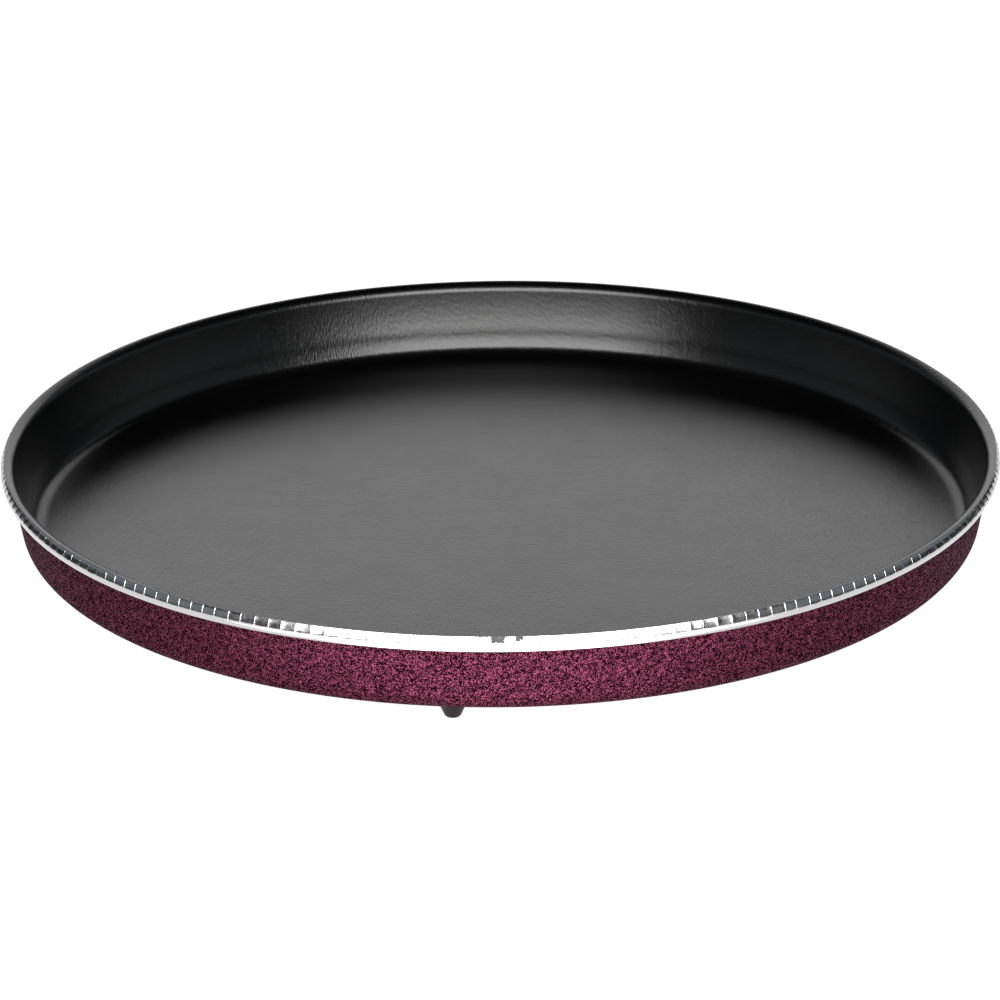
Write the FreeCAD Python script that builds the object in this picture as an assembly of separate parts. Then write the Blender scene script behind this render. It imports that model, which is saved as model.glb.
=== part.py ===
"""Round browning plate for a microwave oven: a pressed aluminium pan with a black non-stick lining,
a speckled outer enamel, a ferrite-filled rubber mat bonded under its base and three silicone feet.

Millimetres, +Z up.  The origin is on the surface that the feet stand on, under the pan's centre.
The sections below are drawn in the XZ plane and turned about Z.  Each sub-part is one closed solid,
written to parts/NAME.step.
"""
import FreeCAD, Part
import math
import os

# Pan
RIM_RADIUS = 160.0          # outer knee of the rim, before its rounding
RIM_TOP = 34.9              # top of the lip above the standing surface
BASE_BOTTOM = 8.2           # underside of the enamelled base
SHEET = 1.4                 # aluminium sheet
COAT = 0.25                 # lining and enamel, thickened so that they are solids
WALL_RADIUS = 154.5         # widest that the base corner would be with an upright wall
WALL_DRAFT = 9.9            # degrees that the wall leans outwards
CORNER_RADIUS = 6.8         # outside of the bend between base and wall
LIP_RADIUS = 3.5            # surface of the lining where it rolls over the lip

# Rim
LINING_END = 0.0            # degrees past the lip's top where the lining stops
GROOVE_END = -35.0          # the same for the enamel, in the groove under the lip
KNEE_DROP = 1.8             # knee between the crimped shoulder and the edge, below the lip's top
KNEE_ROUND = 0.4
EDGE_DROP = 4.6             # lower end of the turned-down edge below the lip's top
EDGE_RADIUS = 159.2         # outside of the turned-down edge at its lower end
EDGE_THICKNESS = 1.25

# Ferrite mat
MAT_RADIUS = 143.0
MAT_THICKNESS = 2.2
MAT_CHAMFER = 0.6
GROOVE_RADII = (40.0, 80.0, 120.0)
GROOVE_WIDTH = 4.0
GROOVE_DEPTH = 0.6

# Feet
FOOT_COUNT = 3
FOOT_CIRCLE = 137.5         # radius of the circle that the feet stand on
FOOT_TURN = 6.1             # degrees from the front (-Y) to the first foot, towards -X
FOOT_ROOT_RADIUS = 4.9      # cone where it leaves the mat
FOOT_SHANK_RADIUS = 4.5     # straight neck through the mat
FOOT_FLANGE_RADIUS = 6.5    # flange held between the base and the mat
FOOT_FLANGE = 1.0
FOOT_FLAT_RADIUS = 1.5      # flat that touches the table
FOOT_TIP_ROUND = 1.2        # rounding between the flat and the cone
FOOT_TIP_TURN = 66.0        # degrees of that rounding

# Centres of the two bends of the wall's section, which every layer of the wall shares
DRAFT = math.radians(WALL_DRAFT)
WALL_THICKNESS = SHEET + 2.0 * COAT
CORNER_R = WALL_RADIUS - CORNER_RADIUS
CORNER_Z = BASE_BOTTOM + CORNER_RADIUS
LIP_Z = RIM_TOP - LIP_RADIUS
BENDS_APART = CORNER_RADIUS - WALL_THICKNESS + LIP_RADIUS
LIP_R = CORNER_R + (BENDS_APART + (LIP_Z - CORNER_Z) * math.sin(DRAFT)) / math.cos(DRAFT)
MAT_BOTTOM = BASE_BOTTOM - MAT_THICKNESS


def polar(centre, radius, degrees):
    """Point of a section at an angle from +Z, turning towards +R."""
    angle = math.radians(degrees)
    return (centre[0] + radius * math.sin(angle), centre[1] + radius * math.cos(angle))


def vector(point):
    return FreeCAD.Vector(point[0], 0.0, point[1])


def line(start, end):
    return Part.LineSegment(vector(start), vector(end)).toShape()


def arc(start, middle, end):
    return Part.Arc(vector(start), vector(middle), vector(end)).toShape()


def outline(points):
    """Straight edges joining the points in a row."""
    return [line(start, end) for start, end in zip(points, points[1:])]


def turned(edges):
    """Solid of revolution about Z of a closed section."""
    face = Part.Face(Part.Wire(Part.sortEdges(edges)[0]))
    return face.revolve(FreeCAD.Vector(0, 0, 0), FreeCAD.Vector(0, 0, 1), 360.0)


def unit(start, end):
    length = math.hypot(end[0] - start[0], end[1] - start[1])
    return ((end[0] - start[0]) / length, (end[1] - start[1]) / length)


def stepped(point, direction, distance):
    return (point[0] + distance * direction[0], point[1] + distance * direction[1])


def crossing(point, direction, other, other_direction):
    """Where two lines of a section cross."""
    det = direction[0] * other_direction[1] - direction[1] * other_direction[0]
    gap = (other[0] - point[0], other[1] - point[1])
    return stepped(point, direction, (gap[0] * other_direction[1] - gap[1] * other_direction[0]) / det)


def wall_surface(depth, lip_end):
    """Edges of the surface that lies depth below the lining's face, from the axis to lip_end
    degrees past the lip's top, with the two end points."""
    corner_centre = (CORNER_R, CORNER_Z)
    lip_centre = (LIP_R, LIP_Z)
    corner = CORNER_RADIUS - WALL_THICKNESS + depth
    lip = LIP_RADIUS - depth
    axis = (0.0, CORNER_Z - corner)
    floor_end = polar(corner_centre, corner, 180.0)
    wall_low = polar(corner_centre, corner, 90.0 + WALL_DRAFT)
    wall_high = polar(lip_centre, lip, WALL_DRAFT - 90.0)
    end = polar(lip_centre, lip, lip_end)
    edges = [
        line(axis, floor_end),
        arc(floor_end, polar(corner_centre, corner, 135.0), wall_low),
        line(wall_low, wall_high),
        arc(wall_high, polar(lip_centre, lip, (WALL_DRAFT - 90.0 + lip_end) / 2.0), end),
    ]
    return edges, axis, end


def skin(inner_depth, outer_depth, lip_end):
    """Thin turned skin between two depths of the wall."""
    inner, inner_axis, inner_end = wall_surface(inner_depth, lip_end)
    outer, outer_axis, outer_end = wall_surface(outer_depth, lip_end)
    return turned(inner + outer + [line(inner_axis, outer_axis), line(inner_end, outer_end)])


def make_lining():
    """Black non-stick coat on the floor, the inner wall and the top of the lip."""
    return skin(0.0, COAT, LINING_END)


def make_enamel():
    """Speckled coat on the underside and the outer wall, up into the groove under the rim."""
    return skin(COAT + SHEET, WALL_THICKNESS, GROOVE_END)


def make_shell():
    """Pressed pan whose lip rolls outwards over a crimped shoulder into a turned-down edge."""
    top, top_axis, shoulder_start = wall_surface(COAT, LINING_END)
    under, under_axis, groove_end = wall_surface(COAT + SHEET, GROOVE_END)
    knee = (RIM_RADIUS, RIM_TOP - KNEE_DROP)
    edge_outer = (EDGE_RADIUS, RIM_TOP - EDGE_DROP)
    edge_inner = (EDGE_RADIUS - EDGE_THICKNESS, RIM_TOP - EDGE_DROP)
    slope = unit(shoulder_start, knee)
    drop = unit(knee, edge_outer)
    knee_in = stepped(knee, slope, -KNEE_ROUND)
    knee_out = stepped(knee, drop, KNEE_ROUND)
    knee_middle = stepped(knee, unit(knee, ((knee_in[0] + knee_out[0]) / 2.0,
                                            (knee_in[1] + knee_out[1]) / 2.0)), KNEE_ROUND / 5.0)
    groove_corner = crossing(groove_end, (1.0, 0.0), edge_inner, drop)
    rim = [line(shoulder_start, knee_in), arc(knee_in, knee_middle, knee_out)]
    rim += outline([knee_out, edge_outer, edge_inner, groove_corner, groove_end])
    return turned(top + rim + under + [line(top_axis, under_axis)])


def foot_centres():
    """Points on the table under the feet, the first one near the front."""
    centres = []
    for index in range(FOOT_COUNT):
        angle = math.radians(270.0 - FOOT_TURN - index * 360.0 / FOOT_COUNT)
        centres.append(FreeCAD.Vector(FOOT_CIRCLE * math.cos(angle), FOOT_CIRCLE * math.sin(angle), 0.0))
    return centres


def make_mat():
    """Ferrite-filled rubber disc with shallow ring grooves and a stepped hole for each foot."""
    section = [
        (0.0, BASE_BOTTOM),
        (MAT_RADIUS, BASE_BOTTOM),
        (MAT_RADIUS, MAT_BOTTOM + MAT_CHAMFER),
        (MAT_RADIUS - MAT_CHAMFER, MAT_BOTTOM),
    ]
    for radius in reversed(GROOVE_RADII):
        outer = radius + GROOVE_WIDTH / 2.0
        inner = radius - GROOVE_WIDTH / 2.0
        section += [
            (outer, MAT_BOTTOM),
            (outer - GROOVE_DEPTH, MAT_BOTTOM + GROOVE_DEPTH),
            (inner + GROOVE_DEPTH, MAT_BOTTOM + GROOVE_DEPTH),
            (inner, MAT_BOTTOM),
        ]
    section += [(0.0, MAT_BOTTOM), (0.0, BASE_BOTTOM)]
    mat = turned(outline(section))
    to_mat_bottom = FreeCAD.Vector(0.0, 0.0, MAT_BOTTOM)
    to_flange = FreeCAD.Vector(0.0, 0.0, BASE_BOTTOM - FOOT_FLANGE)
    for centre in foot_centres():
        neck = Part.makeCylinder(FOOT_SHANK_RADIUS, MAT_THICKNESS, centre + to_mat_bottom)
        seat = Part.makeCylinder(FOOT_FLANGE_RADIUS, FOOT_FLANGE, centre + to_flange)
        mat = mat.cut(neck.fuse(seat))
    return mat


def make_foot(centre):
    """Silicone plug: a flange under the base, a neck through the mat and a cone with a round tip."""
    flange_bottom = BASE_BOTTOM - FOOT_FLANGE
    tip_centre = (FOOT_FLAT_RADIUS, FOOT_TIP_ROUND)
    tip_start = (FOOT_FLAT_RADIUS, 0.0)
    tip_middle = polar(tip_centre, FOOT_TIP_ROUND, 180.0 - FOOT_TIP_TURN / 2.0)
    tip_end = polar(tip_centre, FOOT_TIP_ROUND, 180.0 - FOOT_TIP_TURN)
    body = outline([
        tip_end,
        (FOOT_ROOT_RADIUS, MAT_BOTTOM),
        (FOOT_SHANK_RADIUS, MAT_BOTTOM),
        (FOOT_SHANK_RADIUS, flange_bottom),
        (FOOT_FLANGE_RADIUS, flange_bottom),
        (FOOT_FLANGE_RADIUS, BASE_BOTTOM),
        (0.0, BASE_BOTTOM),
        (0.0, 0.0),
        tip_start,
    ])
    foot = turned(body + [arc(tip_start, tip_middle, tip_end)])
    foot.translate(centre)
    return foot


def export(name, shape):
    """Writes the one solid of a sub-part and prints what it measures."""
    solid = shape.Solids[0]
    box = solid.optimalBoundingBox()
    print(f"{name:16} {len(shape.Solids)} solid, valid {solid.isValid()}, {solid.Volume / 1000.0:8.3f} cm3, "
          f"X {box.XMin:8.2f} {box.XMax:8.2f}, Y {box.YMin:8.2f} {box.YMax:8.2f}, Z {box.ZMin:5.2f} {box.ZMax:5.2f}")
    solid.exportStep(f"parts/{name}.step")


def main():
    os.makedirs("parts", exist_ok=True)
    export("pan_shell", make_shell())
    export("nonstick_lining", make_lining())
    export("outer_enamel", make_enamel())
    export("susceptor_mat", make_mat())
    for number, centre in enumerate(foot_centres(), start=1):
        export(f"foot_{number}", make_foot(centre))


main()
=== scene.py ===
"""Looks of a round microwave browning plate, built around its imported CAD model.

Metres, in the CAD model's frame: +Z up, with the origin on the surface that the feet stand on.
A section is a list of (radius, height) points from the axis over the top face and back to the axis
under the piece, and turned() makes a closed mesh of it.  Angles go round from the front (-Y), where
the camera stands, towards +X.
"""
import math
import random

import bmesh
import bpy
from mathutils import Matrix, Vector


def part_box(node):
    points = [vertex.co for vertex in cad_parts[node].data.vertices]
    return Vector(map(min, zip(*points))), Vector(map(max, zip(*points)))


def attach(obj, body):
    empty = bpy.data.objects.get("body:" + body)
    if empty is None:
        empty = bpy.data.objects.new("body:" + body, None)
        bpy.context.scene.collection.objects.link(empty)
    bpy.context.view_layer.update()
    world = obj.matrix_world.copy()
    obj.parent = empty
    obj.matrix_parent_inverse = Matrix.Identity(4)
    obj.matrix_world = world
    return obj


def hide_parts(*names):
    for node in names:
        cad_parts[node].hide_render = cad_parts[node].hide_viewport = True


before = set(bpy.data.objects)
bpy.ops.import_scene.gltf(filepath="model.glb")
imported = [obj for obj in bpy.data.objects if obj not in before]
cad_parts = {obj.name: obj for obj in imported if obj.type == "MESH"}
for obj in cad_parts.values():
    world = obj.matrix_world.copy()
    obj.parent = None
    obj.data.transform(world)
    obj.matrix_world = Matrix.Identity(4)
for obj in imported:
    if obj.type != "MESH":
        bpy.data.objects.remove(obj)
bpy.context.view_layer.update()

MM = 0.001

# Sizes from the CAD nodes
SHELL_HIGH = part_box("pan_shell")[1]
LINING_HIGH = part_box("nonstick_lining")[1]
ENAMEL_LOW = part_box("outer_enamel")[0]
MAT_LOW, MAT_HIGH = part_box("susceptor_mat")
FOOT_NODES = sorted(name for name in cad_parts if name.startswith("foot_"))
RIM_TOP = LINING_HIGH.z
RIM_RADIUS = SHELL_HIGH.x
LIP_R = LINING_HIGH.x
BASE_BOTTOM = ENAMEL_LOW.z
MAT_BOTTOM = MAT_LOW.z
MAT_RADIUS = MAT_HIGH.x

# Sizes of the pressed pan
SHEET = 1.4 * MM
CAD_COAT = 0.25 * MM          # coats of the CAD model, thickened to be solids
COAT = 0.06 * MM              # coats as they are seen
WALL_THICKNESS = SHEET + 2.0 * CAD_COAT
WALL_DRAFT = math.radians(9.9)
CORNER_RADIUS = 6.8 * MM      # outside of the bend between base and wall
LIP_RADIUS = 3.5 * MM         # surface of the lining where it rolls over the lip
LIP_Z = RIM_TOP - LIP_RADIUS
CORNER_Z = BASE_BOTTOM + CORNER_RADIUS
BENDS_APART = CORNER_RADIUS - WALL_THICKNESS + LIP_RADIUS
CORNER_R = LIP_R - (BENDS_APART + (LIP_Z - CORNER_Z) * math.sin(WALL_DRAFT)) / math.cos(WALL_DRAFT)

# How many degrees the inner face leans outwards, by its share of the way up the wall
INNER_LEAN = (
    (0.0, 18.8), (0.04, 18.8), (0.116, 15.6), (0.212, 11.4),
    (0.356, 15.2), (0.675, 11.9), (1.0, 8.4),
)

# Rim below the lip
BREAK_DROP = 0.75 * MM        # where the crimped shoulder gets steeper
BREAK_TURN = math.radians(33.0)
SHOULDER_DROP = 1.9 * MM      # lower end of the shoulder
SHOULDER_TURN = math.radians(20.0)
KNEE_RADIUS = 2.5 * MM        # roll from the shoulder into the turned-down edge
EDGE_TURN = math.radians(-20.0)
EDGE_DROP = 4.6 * MM
EDGE_THICKNESS = 1.25 * MM
EDGE_ROUND = 0.25 * MM
GROOVE_END = math.radians(-35.0)

# Crimp marks round the shoulder.  Each mark is a shallow hollow between two sharp ridges.
CRIMPS = 225
CRIMP_SHARES = (0.0, 0.007, 0.024, 0.05, 0.3, 0.5, 0.7, 0.95, 0.976, 0.993)
RIDGE_START = (1.0, 0.85, 0.1)            # shares of a ridge's height at the mark's first shares
RIDGE_END = (0.1, 0.85)                   # the same for the next ridge, at its last shares
CRIMP_FADE = (0.5, 1.0, 1.0, 1.0, 1.0, 1.0, 1.0, 1.0, 0.85, 0.6, 0.3)     # down the shoulder and knee
CRIMP_HOLLOW = 0.045 * MM
CRIMP_RIDGE = 0.072 * MM
CRIMP_LEAN = 0.012 * MM
CRIMP_SHIFT = 0.07                        # most that a mark strays, in pitches
HOLLOW_SPREAD = (0.5, 1.4)
RIDGE_SPREAD = (0.8, 1.25)
CRIMP_SEED = 7
CRIMP_START = -0.65                       # pitches from the front to the first mark

# Painted dark reflections, as black patches on the front of the rim: middle, half width and depth
DARK_REFLECTION_PATCHES = ((-1.1 * MM, 2.7 * MM, 2.1 * MM), (4.9 * MM, 1.7 * MM, 1.7 * MM), (-5.4 * MM, 1.9 * MM, 0.6 * MM))
REFLECTION_SIDE_FADE = 0.8 * MM
REFLECTION_FADE_OVER = 0.6 * MM
REFLECTION_FADE_UNDER = 0.3 * MM
REFLECTION_RAGGED = 0.9              # strength of the noise that tears the patches' edges
REFLECTION_EDGE = (1.15, 1.4)        # painted reflection and noise together, from bare metal to painted black

# Feet
FOOT_ROOT_RADIUS = 4.9 * MM
FOOT_SHANK_RADIUS = 4.5 * MM
FOOT_FLANGE_RADIUS = 6.5 * MM
FOOT_FLANGE = 1.0 * MM
FOOT_FLAT_RADIUS = 1.5 * MM
FOOT_TIP_ROUND = 1.2 * MM
FOOT_TIP_TURN = math.radians(66.0)

# Mat
MAT_CHAMFER = 0.6 * MM
GROOVE_RADII = (40.0 * MM, 80.0 * MM, 120.0 * MM)
GROOVE_WIDTH = 4.0 * MM
GROOVE_DEPTH = 0.6 * MM

# Meshes
ROUND_STEPS = 720
FOOT_STEPS = 96
SHARP_EDGE = math.radians(30.0)
FLOOR_RADII = (20.0 * MM, 60.0 * MM, 100.0 * MM, 130.0 * MM, 143.0 * MM)     # rings on the pan's floor
BEND_MARGIN = 0.4 * MM        # from the last ring on the floor to the bend at its edge

# Colours of the finishes
# black of the nonstick coat, also used for the dark reflections painted on the rim's front
NONSTICK_AND_REFLECTION_BLACK = (0.0004, 0.0004, 0.00045)
ENAMEL = (0.06, 0.01, 0.025)
ENAMEL_GROUND = (0.0016, 0.0002, 0.0006)
ENAMEL_MIDDLE = (0.0110, 0.0016, 0.0040)
ENAMEL_GRAIN = (0.1650, 0.0370, 0.0700)
ALUMINIUM = (0.585, 0.575, 0.580)
FERRITE_DARK = (0.020, 0.015, 0.014)
FERRITE = (0.045, 0.033, 0.030)
FERRITE_LIGHT = (0.085, 0.066, 0.060)
SILICONE = (0.012, 0.007, 0.0085)
GRAIN_SIZE = (0.55 * MM, 2.2 * MM, 1.0)   # of the rolled sheet, across and along
GRAIN_TURN = math.radians(27.7)           # of the rolling direction from Y

# Table
TABLE_X = 0.27                # half of its width
TABLE_Y = 1.2                 # half of its depth
TABLE_COLOR = (0.10, 0.10, 0.10)

# Lights: radiance, width, height, azimuth, elevation, distance
KEY = (8.5, 2.45, 1.12, 0.0, 27.0, 1.6)
BACKDROP = (1.38, 2.7, 1.3, 180.0, 19.0, 2.4)
FILL_LEFT = (0.24, 2.8, 0.7, -100.0, 16.0, 1.6)
FILL_RIGHT = (0.24, 2.8, 0.7, 100.0, 16.0, 1.6)
TABLE_GLOW = (4.1, 0.24, 0.44, 0.0, 0.0, 0.0)
GLOW_PLACE = (0.0, -0.38, 0.002)
FACING_UP = (0.0, 1.0, 0.0, 0.0)          # quaternion
LIGHTS_AIM = (0.0, 0.0, 0.02)
FILL_COLOR = (0.78, 0.90, 1.0)
ROOM_COLOR = (0.85, 0.93, 1.0)
ROOM_STRENGTH = 0.013
WHITE = (1.0, 1.0, 1.0)

# Camera
CAMERA_ELEVATION = math.radians(20.85)
CAMERA_DISTANCE = 1.2723      # from the middle of the rim
CAMERA_AIM = 13.4 * MM        # height of the point that it looks at
CAMERA_SIDE = -0.2 * MM       # how far to the side of the axis that point is
CAMERA_ROLL = math.radians(-0.554)
CAMERA_LENS = 142.03
CAMERA_SENSOR = 36.0


# ---------------------------------------------------------------- sections

OUTWARDS = math.pi / 2.0      # from +Z to +R


def polar(centre, radius, angle):
    """Point of a section at an angle from +Z, turning towards +R."""
    return (centre[0] + radius * math.sin(angle), centre[1] + radius * math.cos(angle))


def arc(centre, radius, start, end, steps):
    """Points of an arc, both ends included."""
    return [polar(centre, radius, start + (end - start) * k / steps) for k in range(steps + 1)]


def between(start, end, shares):
    """Points on a straight line at shares of its length."""
    return [(start[0] + (end[0] - start[0]) * t, start[1] + (end[1] - start[1]) * t) for t in shares]


def lean(share):
    """Lean of the inner face at a share of the way up the wall, in radians."""
    for (low, low_lean), (high, high_lean) in zip(INNER_LEAN, INNER_LEAN[1:]):
        if share <= high:
            part = (share - low) / (high - low)
            return math.radians(low_lean + (high_lean - low_lean) * part)
    return math.radians(INNER_LEAN[-1][1])


def leaning_wall(top, bottom_z, steps):
    """Points down the inner face from the lip, excluding the first."""
    points = []
    radius, height = top
    step = (height - bottom_z) / steps
    for k in range(steps):
        share = 1.0 - (k + 0.5) / steps
        radius -= step * math.tan(lean(share))
        height -= step
        points.append((radius, height))
    return points


def wall_face(depth, lip_end, corner_steps=14, wall_steps=36, lip_steps=20):
    """The face that lies depth below the lining's, from the axis over the floor and up the wall to
    lip_end past the lip's top.  The inner faces lean as INNER_LEAN says and the outer ones are
    straight."""
    corner = CORNER_RADIUS - WALL_THICKNESS + depth
    lip = LIP_RADIUS - depth
    floor_z = CORNER_Z - corner
    high = arc((LIP_R, LIP_Z), lip, WALL_DRAFT - OUTWARDS, lip_end, lip_steps)
    if depth < WALL_THICKNESS / 2.0:
        draft = lean(0.0)
        wall = leaning_wall(high[0], CORNER_Z - corner * math.sin(draft), wall_steps)
        corner_r = wall[-1][0] - corner * math.cos(draft)
        wall = wall[-2::-1]
    else:
        draft = WALL_DRAFT
        corner_r = CORNER_R
        low = polar((CORNER_R, CORNER_Z), corner, OUTWARDS + draft)
        wall = between(low, high[0], (0.02, 0.2, 0.4, 0.6, 0.8, 0.98))
    floor_radii = (0.0, *FLOOR_RADII, corner_r - BEND_MARGIN)
    points = [(radius, floor_z) for radius in floor_radii]
    points += arc((corner_r, CORNER_Z), corner, math.pi, OUTWARDS + draft, corner_steps)
    return points + wall + high


def skin_section(inner_depth, outer_depth, lip_end):
    """Thin coat between two depths."""
    outside = wall_face(inner_depth, lip_end)
    inside = wall_face(outer_depth, lip_end)
    return outside + inside[::-1]


# ---------------------------------------------------------------- meshes

def added(name, data):
    """New object of some data, in the scene."""
    made = bpy.data.objects.new(name, data)
    bpy.context.scene.collection.objects.link(made)
    return made


def ring_vertices(section, angles, push):
    """Vertices of a turned section: one at each end on the axis, and a ring for each point between.
    push(ring, step) tells how far a vertex stands out of the section, as (radius, height)."""
    vertices = [(0.0, 0.0, section[0][1])]
    for ring, (radius, height) in enumerate(section[1:-1], start=1):
        for step, angle in enumerate(angles):
            out, up = push(ring, step)
            r = radius + out
            vertices.append((r * math.sin(angle), -r * math.cos(angle), height + up))
    vertices.append((0.0, 0.0, section[-1][1]))
    return vertices


def ring_faces(rings, count):
    """Faces between rings of count vertices, and for each of their corners its (ring, step)."""
    faces = []
    corners = []
    last = 1 + rings * count
    for k in range(count):
        after = (k + 1) % count
        faces.append((0, 1 + k, 1 + after))
        corners.append(((0, k), (1, k), (1, k + 1)))
        for ring in range(rings - 1):
            base = 1 + ring * count
            faces.append((base + k, base + count + k, base + count + after, base + after))
            corners.append(((ring + 1, k), (ring + 2, k), (ring + 2, k + 1), (ring + 1, k + 1)))
        base = 1 + (rings - 1) * count
        faces.append((base + k, last, base + after))
        corners.append(((rings, k), (rings + 1, k), (rings, k + 1)))
    return faces, corners


def add_uvs(mesh, section, angles, corners):
    """Two UV maps in metres: "sheet" is the place in the flat sheet before pressing, "turned" is the
    way round the rim and along the section."""
    lengths = [0.0]
    for start, end in zip(section, section[1:]):
        lengths.append(lengths[-1] + math.dist(start, end))
    wrapped = list(angles) + [angles[0] + 2.0 * math.pi]
    sheet = []
    around = []
    for face in corners:
        for ring, step in face:
            angle = wrapped[step]
            length = lengths[ring]
            sheet += (length * math.sin(angle), -length * math.cos(angle))
            around += (angle * RIM_RADIUS, length)
    mesh.uv_layers.new(name="sheet").data.foreach_set("uv", sheet)
    mesh.uv_layers.new(name="turned").data.foreach_set("uv", around)


def even_angles(count):
    """Angles of evenly spaced steps round the axis."""
    return [2.0 * math.pi * k / count for k in range(count)]


def no_push(ring, step):
    return 0.0, 0.0


def turned(name, section, angles, push=no_push):
    """Closed mesh of a section turned about Z."""
    mesh = bpy.data.meshes.new(name)
    faces, corners = ring_faces(len(section) - 2, len(angles))
    mesh.from_pydata(ring_vertices(section, angles, push), [], faces)
    add_uvs(mesh, section, angles, corners)
    return finished(mesh)


def finished(mesh):
    """Object of a closed mesh with outward normals, smooth but for its sharp edges."""
    shape = bmesh.new()
    shape.from_mesh(mesh)
    bmesh.ops.recalc_face_normals(shape, faces=shape.faces)
    shape.to_mesh(mesh)
    shape.free()
    mesh.shade_smooth()
    mesh.set_sharp_from_angle(angle=SHARP_EDGE)
    return added(mesh.name, mesh)


def place(piece, node, material):
    """Puts a piece in a CAD node's place, with its finish."""
    piece.data.materials.append(material)
    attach(piece, "root")
    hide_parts(node)


# ---------------------------------------------------------------- crimped rim

class Crimps:
    """Uneven tool marks round the shoulder of the rim."""

    def __init__(self):
        chance = random.Random(CRIMP_SEED)
        self.shift = [chance.uniform(-CRIMP_SHIFT, CRIMP_SHIFT) for _ in range(CRIMPS)]
        self.hollow = [CRIMP_HOLLOW * chance.uniform(*HOLLOW_SPREAD) for _ in range(CRIMPS)]
        self.ridge = [CRIMP_RIDGE * chance.uniform(*RIDGE_SPREAD) for _ in range(CRIMPS)]
        self.lean = [chance.gauss(0.0, 1.0) * CRIMP_LEAN for _ in range(CRIMPS)]
        pitch = 2.0 * math.pi / CRIMPS
        self.angles = []
        for mark in range(CRIMPS):
            start = CRIMP_START + mark + self.shift[mark]
            width = 1.0 + self.shift[(mark + 1) % CRIMPS] - self.shift[mark]
            self.angles += [(start + width * share) * pitch for share in CRIMP_SHARES]

    def height(self, step):
        """How far the shoulder stands proud of its plain cone at a step round the rim."""
        mark, part = divmod(step, len(CRIMP_SHARES))
        share = CRIMP_SHARES[part]
        hollow = -4.0 * self.hollow[mark] * share * (1.0 - share)
        to_end = part - len(CRIMP_SHARES) + len(RIDGE_END)
        if part < len(RIDGE_START):
            return hollow + self.ridge[mark] * RIDGE_START[part]
        if to_end >= 0:
            return hollow + self.ridge[(mark + 1) % CRIMPS] * RIDGE_END[to_end]
        return hollow + self.lean[mark] * (share - 0.5)


def rim_section(start, groove_z):
    """Points from the lip's top down the shoulder, round the knee to the end of the turned-down edge,
    and back up inside it to the groove."""
    steep = (start[0] + math.tan(BREAK_TURN) * (BREAK_DROP - RIM_TOP + start[1]), RIM_TOP - BREAK_DROP)
    knee = (steep[0] + math.tan(SHOULDER_TURN) * (SHOULDER_DROP - BREAK_DROP), RIM_TOP - SHOULDER_DROP)
    shoulder = between(start, steep, (0.12, 0.5, 1.0)) + between(steep, knee, (0.33, 0.67))
    roll_centre = polar(knee, -KNEE_RADIUS, OUTWARDS - SHOULDER_TURN)
    roll = arc(roll_centre, KNEE_RADIUS, OUTWARDS - SHOULDER_TURN, OUTWARDS - EDGE_TURN, 10)
    edge_z = RIM_TOP - EDGE_DROP
    edge_r = roll[-1][0] + math.tan(EDGE_TURN) * (roll[-1][1] - edge_z)
    round_centre = (edge_r - EDGE_ROUND, edge_z + EDGE_ROUND)
    bottom = arc(round_centre, EDGE_ROUND, OUTWARDS - EDGE_TURN, math.pi, 4)
    inner_r = edge_r - EDGE_THICKNESS
    return shoulder + roll + bottom + [(inner_r, edge_z), (inner_r, groove_z)]


def make_shell(material):
    """Pressed pan with its rolled, crimped and turned-down rim."""
    top = wall_face(COAT, 0.0, corner_steps=6, wall_steps=12, lip_steps=12)
    under = wall_face(WALL_THICKNESS - COAT, GROOVE_END, corner_steps=4, lip_steps=4)
    section = top + rim_section(top[-1], under[-1][1]) + under[::-1]
    crimps = Crimps()
    fade = dict(enumerate(CRIMP_FADE, start=len(top)))

    def crimp(ring, step):
        out = fade.get(ring, 0.0) * crimps.height(step)
        return out * math.cos(SHOULDER_TURN), out * math.sin(SHOULDER_TURN)

    shell = turned("pan_shell_visual", section, crimps.angles, crimp)
    place(shell, "pan_shell", material)


def make_lining(material):
    lining = turned("nonstick_lining_visual", skin_section(0.0, COAT, 0.0), even_angles(ROUND_STEPS))
    place(lining, "nonstick_lining", material)


def make_enamel(material):
    section = skin_section(WALL_THICKNESS - COAT, WALL_THICKNESS, GROOVE_END)
    enamel = turned("outer_enamel_visual", section, even_angles(ROUND_STEPS))
    place(enamel, "outer_enamel", material)


def foot_section():
    """Flange, neck and domed cone, from the top of the flange down to the tip."""
    flange_bottom = BASE_BOTTOM - FOOT_FLANGE
    tip_centre = (FOOT_FLAT_RADIUS, FOOT_TIP_ROUND)
    tip = arc(tip_centre, FOOT_TIP_ROUND, math.pi - FOOT_TIP_TURN, math.pi, 8)
    side = between((FOOT_ROOT_RADIUS, MAT_BOTTOM), tip[0], (0.0, 0.03, 0.25, 0.5, 0.75, 0.97))
    return [
        (0.0, BASE_BOTTOM),
        (FOOT_FLANGE_RADIUS, BASE_BOTTOM),
        (FOOT_FLANGE_RADIUS, flange_bottom),
        (FOOT_SHANK_RADIUS, flange_bottom),
        (FOOT_SHANK_RADIUS, MAT_BOTTOM),
    ] + side + tip + [(0.0, 0.0)]


def make_feet(material):
    for node in FOOT_NODES:
        low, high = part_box(node)
        foot = turned(node + "_visual", foot_section(), even_angles(FOOT_STEPS))
        foot.data.transform(Matrix.Translation(((low.x + high.x) / 2.0, (low.y + high.y) / 2.0, 0.0)))
        place(foot, node, material)


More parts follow.
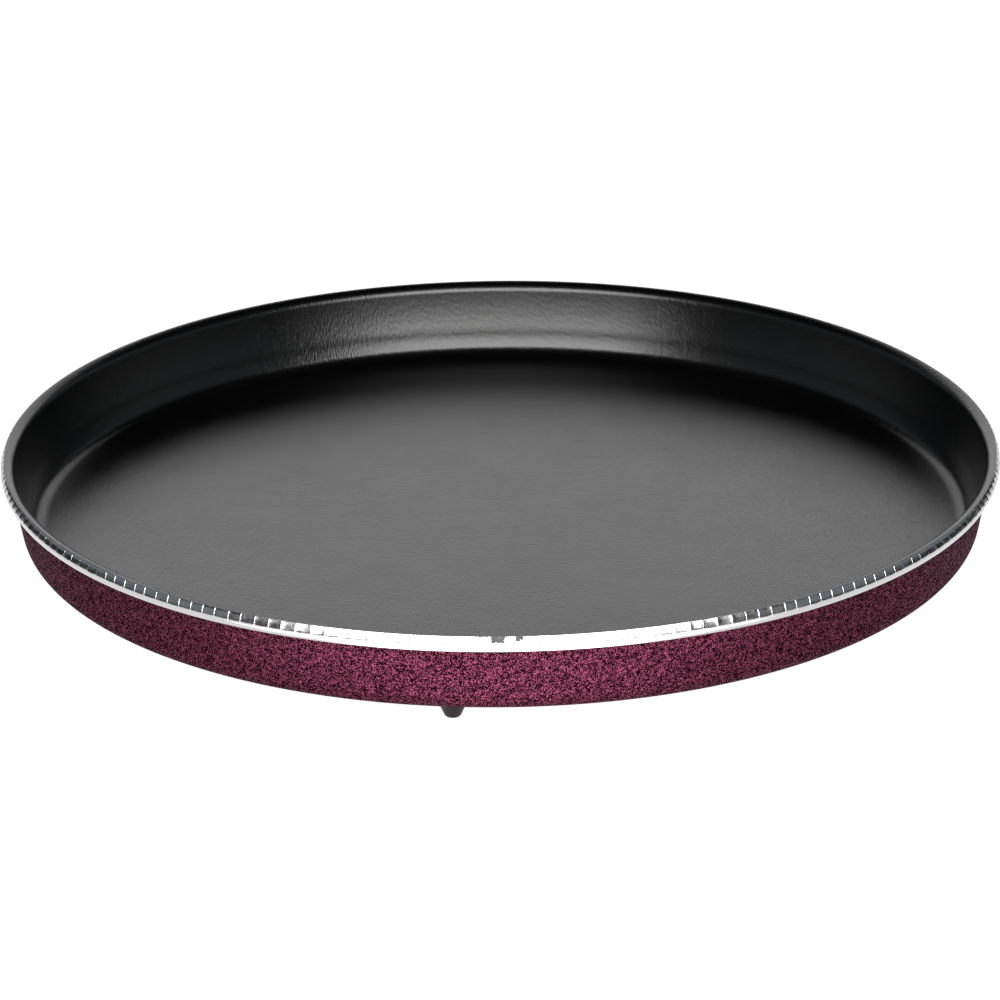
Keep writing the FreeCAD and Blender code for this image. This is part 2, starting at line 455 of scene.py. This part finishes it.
def mat_section():
    section = [
        (0.0, BASE_BOTTOM),
        (MAT_RADIUS, BASE_BOTTOM),
        (MAT_RADIUS, MAT_BOTTOM + MAT_CHAMFER),
        (MAT_RADIUS - MAT_CHAMFER, MAT_BOTTOM),
    ]
    for radius in reversed(GROOVE_RADII):
        outer = radius + GROOVE_WIDTH / 2.0
        inner = radius - GROOVE_WIDTH / 2.0
        section += [
            (outer, MAT_BOTTOM),
            (outer - GROOVE_DEPTH, MAT_BOTTOM + GROOVE_DEPTH),
            (inner + GROOVE_DEPTH, MAT_BOTTOM + GROOVE_DEPTH),
            (inner, MAT_BOTTOM),
        ]
    return section + [(0.0, MAT_BOTTOM)]


def make_mat(material):
    mat = turned("susceptor_mat_visual", mat_section(), even_angles(ROUND_STEPS))
    place(mat, "susceptor_mat", material)


# ---------------------------------------------------------------- materials

class Finish:
    """A material's node tree with short calls for its nodes."""

    def __init__(self, name, color, roughness, metallic=0.0, ior=1.5):
        self.material = bpy.data.materials.new(name)
        self.material.use_nodes = True
        self.tree = self.material.node_tree
        self.surface = self.tree.nodes["Principled BSDF"]
        self.surface.inputs["Base Color"].default_value = (*color, 1.0)
        self.surface.inputs["Roughness"].default_value = roughness
        self.surface.inputs["Metallic"].default_value = metallic
        self.surface.inputs["IOR"].default_value = ior

    def feed(self, socket, value):
        """Links an output to a socket, or sets the socket to a plain value."""
        if isinstance(value, bpy.types.NodeSocket):
            self.tree.links.new(value, socket)
        else:
            socket.default_value = value

    def node(self, kind, **inputs):
        """New node with its inputs fed by name, where _ stands for a space."""
        made = self.tree.nodes.new(kind)
        for name, value in inputs.items():
            self.feed(made.inputs[name.replace("_", " ")], value)
        return made

    def axes(self, vector):
        return self.node("ShaderNodeSeparateXYZ", Vector=vector).outputs

    def uv(self, name):
        made = self.tree.nodes.new("ShaderNodeUVMap")
        made.uv_map = name
        return made.outputs["UV"]

    def place(self):
        return self.tree.nodes.new("ShaderNodeTexCoord").outputs["Object"]

    def mapped(self, vector, size, turn=0.0):
        """Place measured along axes that are turned, in cells of a given size."""
        made = self.node("ShaderNodeMapping", Vector=vector, Scale=size, Rotation=(0.0, 0.0, turn))
        made.vector_type = "TEXTURE"
        return made.outputs["Vector"]

    def noise(self, vector, scale, detail=2.0, roughness=0.5, distortion=0.0):
        made = self.node("ShaderNodeTexNoise", Vector=vector, Scale=scale, Detail=detail,
                         Roughness=roughness, Distortion=distortion)
        return made.outputs["Fac"]

    def span(self, value, low, high, to_low=0.0, to_high=1.0):
        made = self.node("ShaderNodeMapRange", Value=value, From_Min=low, From_Max=high,
                         To_Min=to_low, To_Max=to_high)
        return made.outputs["Result"]

    def ramp(self, value, stops):
        made = self.node("ShaderNodeValToRGB", Fac=value)
        points = made.color_ramp.elements
        while len(points) < len(stops):
            points.new(0.5)
        for point, (position, color) in zip(points, stops):
            point.position = position
            point.color = (*color, 1.0)
        return made.outputs["Color"]

    def combine(self, operation, first, second):
        made = self.tree.nodes.new("ShaderNodeMath")
        made.operation = operation
        for socket, value in zip(made.inputs, (first, second)):
            self.feed(socket, value)
        return made.outputs["Value"]

    def bump(self, height, distance, strength=1.0, under=None):
        made = self.node("ShaderNodeBump", Height=height, Distance=distance, Strength=strength)
        if under is not None:
            self.tree.links.new(under, made.inputs["Normal"])
        return made.outputs["Normal"]

    def link(self, output, name):
        self.tree.links.new(output, self.surface.inputs[name])


def nonstick_finish():
    """Satin black coat sprayed on rolled sheet, whose grain shows through."""
    coat = Finish("black_nonstick_finish", NONSTICK_AND_REFLECTION_BLACK, 0.25)
    grain = coat.noise(coat.mapped(coat.uv("sheet"), GRAIN_SIZE, GRAIN_TURN), 1.0, detail=1.0)
    peel = coat.noise(coat.place(), 2600.0)
    cloud = coat.noise(coat.place(), 60.0, detail=3.0)
    coat.link(coat.span(cloud, 0.3, 0.7, 0.24, 0.27), "Roughness")
    fine = coat.bump(peel, 0.03 * MM)
    coat.link(coat.bump(grain, 0.09 * MM, under=fine), "Normal")
    return coat.material


def speckle_finish():
    """Hammered maroon enamel: fine worm-like grains of a lighter metallic pink over a dark ground."""
    coat = Finish("maroon_speckle_finish", ENAMEL, 0.45)
    coat.surface.inputs["Specular IOR Level"].default_value = 0.0
    worms = coat.noise(coat.place(), 3000.0, detail=1.5, distortion=0.8)
    tone = coat.noise(coat.place(), 800.0)
    mixed = coat.combine("ADD", coat.combine("MULTIPLY", worms, 0.8), coat.combine("MULTIPLY", tone, 0.2))
    color = coat.ramp(mixed, ((0.45, ENAMEL_GROUND), (0.52, ENAMEL_MIDDLE), (0.60, ENAMEL_GRAIN)))
    coat.link(color, "Base Color")
    coat.link(coat.span(mixed, 0.50, 0.59, 0.0, 0.5), "Metallic")
    coat.link(coat.bump(worms, 0.08 * MM), "Normal")
    return coat.material


def painted_dark_reflections(metal):
    """Where dark reflections are painted as black patches on the front of the rim, from 0 to 1."""
    x, y, z = metal.axes(metal.place())
    reflection_cover = 0.0
    for middle, half, depth in DARK_REFLECTION_PATCHES:
        aside = metal.combine("ABSOLUTE", metal.combine("SUBTRACT", x, middle), 0.0)
        across = metal.span(aside, half, half - REFLECTION_SIDE_FADE)
        end = RIM_TOP - depth
        down = metal.span(z, end - REFLECTION_FADE_UNDER, end + REFLECTION_FADE_OVER)
        reflection_cover = metal.combine("MAXIMUM", reflection_cover, metal.combine("MULTIPLY", across, down))
    ragged = metal.noise(metal.place(), 900.0, detail=3.0)
    torn_reflection = metal.combine("ADD", reflection_cover, metal.combine("MULTIPLY", ragged, REFLECTION_RAGGED))
    # painted reflections only on the half of the rim that faces the camera
    front = metal.combine("LESS_THAN", y, 0.0)
    return metal.combine("MULTIPLY", metal.span(torn_reflection, *REFLECTION_EDGE), front)


def aluminium_finish():
    """Bare rolled edge, bright and slightly blotched, with dark reflections painted on its front as black
    patches.
    """
    metal = Finish("bare_aluminium_finish", ALUMINIUM, 0.20, metallic=1.0)
    blotch = metal.noise(metal.place(), 500.0, detail=3.0)
    painted_reflection = painted_dark_reflections(metal)
    # painted dark reflections: where the mask is set the metal turns black, not metallic and rougher
    metal.link(metal.ramp(painted_reflection, ((0.0, ALUMINIUM), (1.0, NONSTICK_AND_REFLECTION_BLACK))), "Base Color")
    metal.link(metal.span(painted_reflection, 0.0, 1.0, 1.0, 0.0), "Metallic")
    worn = metal.span(blotch, 0.3, 0.7, 0.15, 0.26)
    metal.link(metal.combine("ADD", worn, metal.combine("MULTIPLY", painted_reflection, 0.25)), "Roughness")
    metal.link(metal.bump(blotch, 0.03 * MM, 0.4), "Normal")
    return metal.material


def ferrite_finish():
    """Matte dark rubber filled with ferrite grains."""
    rubber = Finish("ferrite_rubber_finish", FERRITE, 0.75)
    grains = rubber.noise(rubber.place(), 1800.0)
    color = rubber.ramp(grains, ((0.35, FERRITE_DARK), (0.55, FERRITE), (0.75, FERRITE_LIGHT)))
    rubber.link(color, "Base Color")
    rubber.link(rubber.bump(grains, 0.05 * MM, 0.6), "Normal")
    return rubber.material


def silicone_finish():
    """Dark brown-grey silicone with a faint moulding grain."""
    rubber = Finish("foot_silicone_finish", SILICONE, 0.45, ior=1.41)
    rubber.surface.inputs["Specular IOR Level"].default_value = 0.3
    grain = rubber.noise(rubber.place(), 1500.0)
    rubber.link(rubber.span(grain, 0.3, 0.7, 0.40, 0.52), "Roughness")
    rubber.link(rubber.bump(grain, 0.02 * MM, 0.5), "Normal")
    return rubber.material


# ---------------------------------------------------------------- stage

def make_floor():
    """Pale table that glows, so that it stays white round the plate, and lets light through from below."""
    mesh = bpy.data.meshes.new("stage_floor")
    signs = ((-1, -1), (1, -1), (1, 1), (-1, 1))
    corners = [(x * TABLE_X, y * TABLE_Y, 0.0) for x, y in signs]
    mesh.from_pydata(corners, [], [(0, 1, 2, 3)])
    floor = added("stage_floor", mesh)
    material = bpy.data.materials.new("stage_floor_finish")
    material.use_nodes = True
    nodes = material.node_tree.nodes
    links = material.node_tree.links
    surface = nodes["Principled BSDF"]
    surface.inputs["Base Color"].default_value = (*TABLE_COLOR, 1.0)
    surface.inputs["Roughness"].default_value = 1.0
    surface.inputs["Specular IOR Level"].default_value = 0.0
    surface.inputs["Emission Color"].default_value = (*WHITE, 1.0)
    surface.inputs["Emission Strength"].default_value = 1.0
    clear = nodes.new("ShaderNodeBsdfTransparent")
    mix = nodes.new("ShaderNodeMixShader")
    side = nodes.new("ShaderNodeNewGeometry")
    links.new(side.outputs["Backfacing"], mix.inputs[0])
    links.new(surface.outputs[0], mix.inputs[1])
    links.new(clear.outputs[0], mix.inputs[2])
    links.new(mix.outputs[0], nodes["Material Output"].inputs["Surface"])
    mesh.materials.append(material)


def softbox(name, radiance, width, height, azimuth, elevation, distance, target=LIGHTS_AIM):
    """Rectangular light of a given radiance.  Azimuth 0 stands behind the camera, 90 is at +X."""
    light = bpy.data.lights.new(name, "AREA")
    light.shape = "RECTANGLE"
    light.size = width
    light.size_y = height
    light.energy = radiance * math.pi * width * height
    a = math.radians(azimuth)
    e = math.radians(elevation)
    away = Vector((math.sin(a) * math.cos(e), -math.cos(a) * math.cos(e), math.sin(e)))
    box = added(name, light)
    box.location = Vector(target) + away * distance
    box.rotation_mode = "QUATERNION"
    box.rotation_quaternion = away.to_track_quat("Z", "Y")
    box.visible_camera = False
    return box


def make_lights():
    softbox("key_front", *KEY)
    softbox("backdrop", *BACKDROP)
    for name, values in (("fill_left", FILL_LEFT), ("fill_right", FILL_RIGHT)):
        fill = softbox(name, *values)
        fill.data.color = FILL_COLOR
    glow = softbox("table_glow", *TABLE_GLOW, GLOW_PLACE)
    glow.rotation_quaternion = FACING_UP


def make_room():
    """Dim bluish surroundings that look white to the camera."""
    world = bpy.data.worlds.new("studio")
    bpy.context.scene.world = world
    world.use_nodes = True
    nodes = world.node_tree.nodes
    links = world.node_tree.links
    room = nodes["Background"]
    room.inputs["Color"].default_value = (*ROOM_COLOR, 1.0)
    room.inputs["Strength"].default_value = ROOM_STRENGTH
    seen = nodes.new("ShaderNodeBackground")
    seen.inputs["Color"].default_value = (*WHITE, 1.0)
    path = nodes.new("ShaderNodeLightPath")
    mix = nodes.new("ShaderNodeMixShader")
    links.new(path.outputs["Is Camera Ray"], mix.inputs[0])
    links.new(room.outputs[0], mix.inputs[1])
    links.new(seen.outputs[0], mix.inputs[2])
    links.new(mix.outputs[0], nodes["World Output"].inputs["Surface"])


def make_camera():
    """Camera in front of the plate, looking down at it."""
    data = bpy.data.cameras.new("camera")
    data.lens = CAMERA_LENS
    data.sensor_width = CAMERA_SENSOR
    data.clip_start = 0.05
    data.clip_end = 20.0
    away = Vector((0.0, -math.cos(CAMERA_ELEVATION), math.sin(CAMERA_ELEVATION)))
    position = Vector((0.0, 0.0, RIM_TOP)) + away * CAMERA_DISTANCE
    forward = (Vector((CAMERA_SIDE, 0.0, CAMERA_AIM)) - position).normalized()
    right = forward.cross(Vector((0.0, 0.0, 1.0))).normalized()
    up = right.cross(forward)
    turn = Matrix.Rotation(CAMERA_ROLL, 3, -forward)
    right = turn @ right
    up = turn @ up
    axes = Matrix((right, up, -forward)).transposed()
    camera = added("camera", data)
    camera.matrix_world = Matrix.Translation(position) @ axes.to_4x4()
    bpy.context.scene.camera = camera


def main():
    bpy.context.scene.view_settings.view_transform = "Standard"
    make_camera()
    make_floor()
    make_lights()
    make_room()
    make_shell(aluminium_finish())
    make_lining(nonstick_finish())
    make_enamel(speckle_finish())
    make_mat(ferrite_finish())
    make_feet(silicone_finish())


main()
